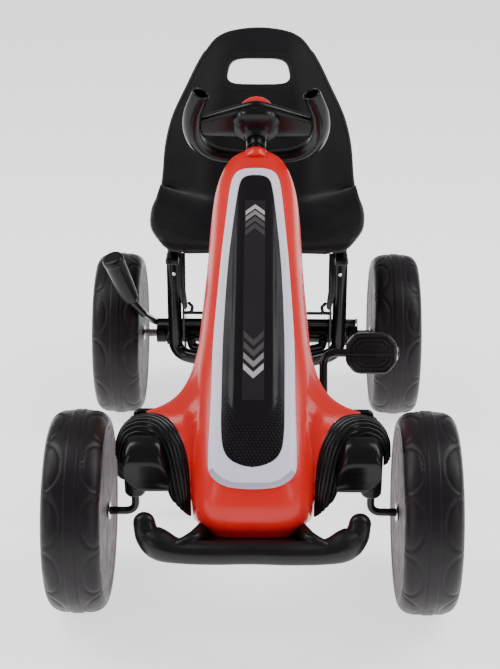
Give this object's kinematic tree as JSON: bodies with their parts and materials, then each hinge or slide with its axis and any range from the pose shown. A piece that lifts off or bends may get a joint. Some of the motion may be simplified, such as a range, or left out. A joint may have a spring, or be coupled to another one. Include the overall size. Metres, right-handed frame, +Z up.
{
  "type": "pedal go kart",
  "caption": "Child's pedal go kart: steel tube frame, bucket seat, tapered red hood, butterfly steering wheel, foam tyres, chain drive and hand brake lever.",
  "frame": {"origin": "on the ground under the middle of the kart", "axes": "+Z up, the kart drives towards -Y, +X is to the right for someone looking at its nose"},
  "size_m": [0.519, 0.9438, 0.5972],
  "materials": {
    "red_plastic": "glossy moulded plastic",
    "white_plastic": "satin moulded plastic, pale lilac white",
    "gloss_black_plastic": "glossy moulded plastic",
    "satin_black_plastic": "satin moulded plastic, fine grain",
    "foam_tyre": "closed-cell foam with a moulded tread",
    "black_steel": "gloss black powder coat",
    "bare_steel": "zinc plated",
    "grey_plastic": "matt moulded plastic"
  },
  "bodies": {
    "chassis": {"main_spine": "black_steel", "front_axle_beam": "black_steel", "kingpin_bush_left": "satin_black_plastic", "kingpin_bush_right": "satin_black_plastic", "seat_hoop": "black_steel", "rear_rail": "black_steel", "axle_bracket_left": "black_steel", "axle_bracket_right": "black_steel", "rear_axle_housing_left": "black_steel", "rear_axle_housing_right": "black_steel", "rear_bush_left": "satin_black_plastic", "rear_bush_right": "satin_black_plastic", "crank_hanger": "black_steel", "cross_rod": "black_steel", "steering_bracket": "black_steel", "hood": "red_plastic", "hood_trim": "white_plastic", "hood_panel": "gloss_black_plastic", "hood_grille": "satin_black_plastic", "fender_left": "gloss_black_plastic", "fender_right": "gloss_black_plastic", "bumper": "satin_black_plastic", "seat_rail_left": "black_steel", "seat_rail_right": "black_steel", "column_bush": "satin_black_plastic", "chain": "bare_steel", "chain_guard": "satin_black_plastic"},
    "seat": {"seat_shell": "satin_black_plastic", "seat_slider_left": "satin_black_plastic", "seat_slider_right": "satin_black_plastic"},
    "steering": {"steering_shaft": "black_steel", "steering_wheel": "gloss_black_plastic", "steering_wheel_cap": "red_plastic"},
    "knuckle_left": {"stub_axle_left": "black_steel", "steering_arm_left": "black_steel"},
    "knuckle_right": {"stub_axle_right": "black_steel", "steering_arm_right": "black_steel"},
    "tie_rod": {"tie_rod": "black_steel"},
    "front_wheel_left": {"front_tyre_left": "foam_tyre", "front_hub_left": "grey_plastic", "front_hub_cap_left": "satin_black_plastic"},
    "front_wheel_right": {"front_tyre_right": "foam_tyre", "front_hub_right": "grey_plastic", "front_hub_cap_right": "satin_black_plastic"},
    "crank": {"crankshaft": "black_steel", "chainring": "bare_steel"},
    "pedal_left": {"pedal_left": "satin_black_plastic"},
    "pedal_right": {"pedal_right": "satin_black_plastic"},
    "rear_axle": {"rear_axle": "bare_steel", "rear_sprocket": "bare_steel", "rear_tyre_left": "foam_tyre", "rear_hub_left": "grey_plastic", "rear_hub_cap_left": "satin_black_plastic", "rear_tyre_right": "foam_tyre", "rear_hub_right": "grey_plastic", "rear_hub_cap_right": "satin_black_plastic"},
    "brake": {"brake_lever": "black_steel", "brake_grip": "satin_black_plastic"}
  },
  "joints": [
    {"name": "seat_slide", "type": "slide", "parent": "chassis", "child": "seat", "axis": [0, 1, 0], "range_m": [0, 0.04]},
    {"name": "steering_turn", "type": "hinge", "parent": "chassis", "child": "steering", "pos_m": [0, 0.0485, 0.526], "axis": [0, 0.8206, 0.5715], "range_deg": [-22.5, 22.5]},
    {"name": "kingpin_left_turn", "type": "hinge", "parent": "chassis", "child": "knuckle_left", "pos_m": [-0.15, -0.3235, 0.13], "axis": [0, 0, 1], "range_deg": [-20.1, 20.1]},
    {"name": "kingpin_right_turn", "type": "hinge", "parent": "chassis", "child": "knuckle_right", "pos_m": [0.15, -0.3235, 0.13], "axis": [0, 0, 1], "range_deg": [-20.1, 20.1]},
    {"name": "tie_rod_pivot", "type": "hinge", "parent": "knuckle_left", "child": "tie_rod", "pos_m": [-0.15, -0.2785, 0.2495], "axis": [0, 0, 1], "range_deg": [-20.1, 20.1]},
    {"name": "front_wheel_left_spin", "type": "hinge", "parent": "knuckle_left", "child": "front_wheel_left", "pos_m": [-0.2205, -0.3235, 0.13], "axis": [1, 0, 0], "continuous": true},
    {"name": "front_wheel_right_spin", "type": "hinge", "parent": "knuckle_right", "child": "front_wheel_right", "pos_m": [0.2205, -0.3235, 0.13], "axis": [1, 0, 0], "continuous": true},
    {"name": "crank_turn", "type": "hinge", "parent": "chassis", "child": "crank", "pos_m": [0, -0.0535, 0.15], "axis": [1, 0, 0], "continuous": true},
    {"name": "pedal_left_spin", "type": "hinge", "parent": "crank", "child": "pedal_left", "pos_m": [-0.167, -0.09712, 0.08534], "axis": [1, 0, 0], "continuous": true},
    {"name": "pedal_right_spin", "type": "hinge", "parent": "crank", "child": "pedal_right", "pos_m": [0.167, -0.00988, 0.21466], "axis": [1, 0, 0], "continuous": true},
    {"name": "rear_axle_spin", "type": "hinge", "parent": "chassis", "child": "rear_axle", "pos_m": [0, 0.2615, 0.13], "axis": [1, 0, 0], "continuous": true},
    {"name": "brake_lever_turn", "type": "hinge", "parent": "chassis", "child": "brake", "pos_m": [0, 0.2415, 0.158], "axis": [-1, 0, 0], "range_deg": [0, 25]}
  ],
  "couplings": [
    {"joint": "kingpin_left_turn", "follows": "steering_turn", "ratio": 0.8889},
    {"joint": "kingpin_right_turn", "follows": "steering_turn", "ratio": 0.8889},
    {"joint": "tie_rod_pivot", "follows": "steering_turn", "ratio": -0.8889},
    {"joint": "rear_axle_spin", "follows": "crank_turn", "ratio": 1.8182}
  ]
}
